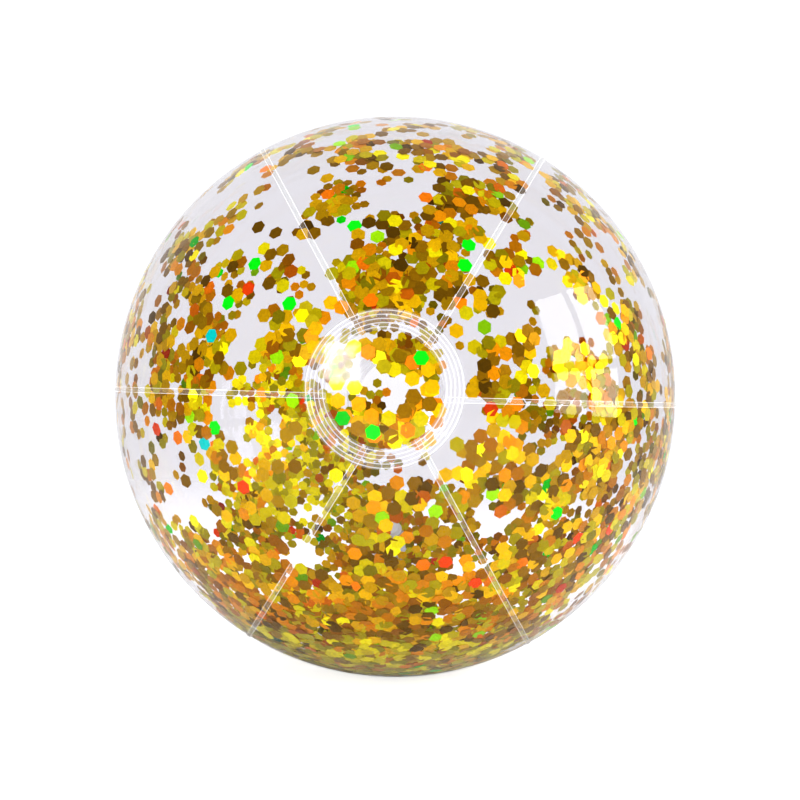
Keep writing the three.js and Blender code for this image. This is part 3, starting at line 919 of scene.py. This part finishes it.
def make_clinging(foils):
    near = Flakes("confetti_near", foils, 11)
    far = Flakes("confetti_far", foils, 12)
    valve_axis = Vector(joint("stem_slide")["axis"]).normalized()
    accents = [middle_of(n) for n in frame["nodes"] if n.startswith("flake_") and "pocket" not in n]
    for place in clinging_places():
        unit = place.normalized()
        if unit.dot(valve_axis) > math.cos(VALVE_CLEARANCE):
            continue
        if unit.dot(FRONT_POLE) > math.cos(HOLE_ANGLE + POCKET_CLEARANCE):
            continue
        if any((place - accent).length < ACCENT_CLEARANCE for accent in accents):
            continue
        group = near if unit.y < 0 else far
        depth = group.random.uniform(0, CLING_LAYER)
        group.add(place - unit * depth, unit, CLING_TILT, favoured(unit, group.random.random()))
    near.finish("ball", "gold_foil")
    far.finish("ball", "gold_foil")


# Flakes that stand out in the front pocket: degrees from the front pole, and degrees from +X towards +Z.
POCKET_ACCENTS = [
    ("green", 9, 202.5), ("green", 6.5, 238), ("green", 7.6, 59), ("lemon", 7, 271), ("lemon", 6.1, 307.6),
    ("lemon", 6, 300), ("gold", 7.2, 346), ("orange", 6.6, 352), ("lime", 10.6, 131), ("orange", 8.6, 122.5),
    ("orange", 6.4, 66), ("olive", 5.4, 112), ("olive", 4.6, 95), ("olive", 8.8, 50), ("deep", 7.6, 332),
]
ACCENT_DEPTH, ACCENT_STEP = 0.3 * MM, 0.12 * MM  # of the first one under the patch, and from one to the next

# The other flakes there: how many are low and high, the directions that they lie in, and how far out.
LOW_FLAKES, HIGH_FLAKES = 32, 7
LOW_TURNS = (-160, 32, -45)  # first, last and most common, in degrees from +X towards +Z
HIGH_TURNS = (35, 140)
LOW_REACH, HIGH_REACH = (0.52, 0.84), (0.5, 0.84)  # shares of the hole's radius
POCKET_DEPTH = (1.1 * MM, 2.6 * MM)
POCKET_TILT = math.radians(5)


def make_pocket(foils):
    """Flakes in the front pocket, two or three deep along its lower right, and a few at the top."""
    pocket = Flakes("confetti_pocket", foils, 14)
    middle = FRONT_POLE * BALL_RADIUS

    def add_loose(degrees, reaches, colours):
        turn = math.radians(degrees)
        reach = pocket.random.uniform(*reaches) * PATCH_HOLE
        unit = (middle + Vector((math.cos(turn), 0, math.sin(turn))) * reach).normalized()
        depth = pocket.random.uniform(*POCKET_DEPTH)
        pocket.add(unit * (PATCH_INSIDE - depth), unit, POCKET_TILT, pocket.random.choice(colours))

    for _ in range(LOW_FLAKES):
        degrees = pocket.random.triangular(*LOW_TURNS)
        add_loose(degrees, LOW_REACH, ("gold", "deep", "olive", "olive", "bronze"))
    for _ in range(HIGH_FLAKES):
        degrees = pocket.random.uniform(*HIGH_TURNS)
        add_loose(degrees, HIGH_REACH, ("gold", "olive"))
    for order, (colour, polar, azimuth) in enumerate(POCKET_ACCENTS):
        unit = on_sphere(1, math.radians(polar), math.radians(azimuth))
        depth = ACCENT_DEPTH + ACCENT_STEP * order
        pocket.add(unit * (PATCH_INSIDE - depth), unit, 0, colour)
    pocket.finish("ball", "gold_foil")


def make_heap(foils):
    """Loose flakes at the bottom, on and in the blanket that the CAD solid holds."""
    low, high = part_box("loose_confetti")
    heap = Flakes("confetti_loose", foils, 13)
    tries, thinnest = 1500, 0.25
    top, layer = BALL_RADIUS - 2.2 * MM, 2.2 * MM
    inset = 0.95  # share of the blanket's length and width that is filled
    flattest, steepest = 5, 11  # tilts in degrees, at the blanket's edge and in its middle
    lemons = 0.4  # share of flakes that are lemon before the others are chosen
    half_length = (high.y - low.y) / 2
    half_turn = math.asin(high.x / -low.z)
    for _ in range(tries):
        y = heap.random.uniform(-1, 1)
        turn = heap.random.uniform(-1, 1)
        deep = (1 - y * y) * (1 - turn * turn)
        if heap.random.random() > thinnest + deep:
            continue
        radius = top - heap.random.uniform(0, layer) * deep
        ring = math.sqrt(radius ** 2 - (y * half_length) ** 2)
        angle = turn * half_turn * inset
        place = Vector((ring * math.sin(angle), y * half_length * inset, -ring * math.cos(angle)))
        colour = "lemon" if heap.random.random() < lemons else None
        heap.add(place, place.normalized(), math.radians(lerp(flattest, steepest, deep)), colour)
    heap.finish("confetti", "loose_foil", "loose_confetti")


def paint_flake_nodes():
    """The single flakes of the CAD model, each in an even foil of its own colour."""
    pocket_colours = ("gold", "deep", "olive", "bronze", "bronze", "lemon", "deep", "orange")
    level = 0.9
    chooser = random.Random(21)
    foils = {}
    for name, (colour, metallic, _) in PALETTE.items():
        foils[name] = foil("flake_" + name, colour, metallic, level, level)
    for name, node in sorted(frame["nodes"].items()):
        if not name.startswith("flake_"):
            continue
        colour = name.split("_")[1]
        if colour == "pocket":
            colour = chooser.choice(pocket_colours)
        node.data.materials.clear()
        node.data.materials.append(foils[colour])


# ---- The whole ball ----

make_camera()
make_world()
make_floor()
make_lights()

FILM_MATERIALS = [
    clear_film("clear_film", (0.915, 0.91, 0.925, 1), roughness=0.03, waviness=0.05),
    clear_film("seam_weld", (0.96, 0.96, 0.965, 1), roughness=0.12, waviness=0.15, haze=0.02),
    # film_edge: a milky film edge and weld bead with a painted glow.
    edge_with_painted_glow("film_edge", alpha=0.45, glow=0.5),
    clear_film("weld_groove", (0.82, 0.82, 0.84, 1), roughness=0.2, waviness=0.0),
]
PATCH_MATERIALS = [
    clear_film("patch_film", (0.96, 0.957, 0.965, 1), roughness=0.10, waviness=0.35),
    clear_film("patch_weld", (0.96, 0.96, 0.965, 1), roughness=0.2, waviness=0.2, haze=0.10),
    # patch_rib: a milky rib crest with a painted glow.
    edge_with_painted_glow("patch_rib", alpha=0.3, glow=0.36),
]
for gore_number in range(GORES):
    make_gore(gore_number, FILM_MATERIALS)
make_patch("end_patch_front", "front_patch", FRONT_POLE, PATCH_MATERIALS)
make_patch("end_patch_back", "back_patch", BACK_POLE, PATCH_MATERIALS)

VINYL = vinyl()
make_flange(VINYL)
make_stem(VINYL)
make_plug(VINYL)
make_strap(VINYL)
make_flap(VINYL)

FOILS = [foil("foil_" + n, colour, metallic) for n, (colour, metallic, _) in PALETTE.items()]
make_clinging(FOILS)
make_pocket(FOILS)
make_heap(FOILS)
paint_flake_nodes()

scene = bpy.context.scene
scene.view_settings.view_transform = "Standard"
scene.view_settings.look = "Medium High Contrast"
scene.cycles.transparent_max_bounces = 64
scene.cycles.max_bounces = 8
scene.cycles.caustics_reflective = False
scene.cycles.caustics_refractive = False
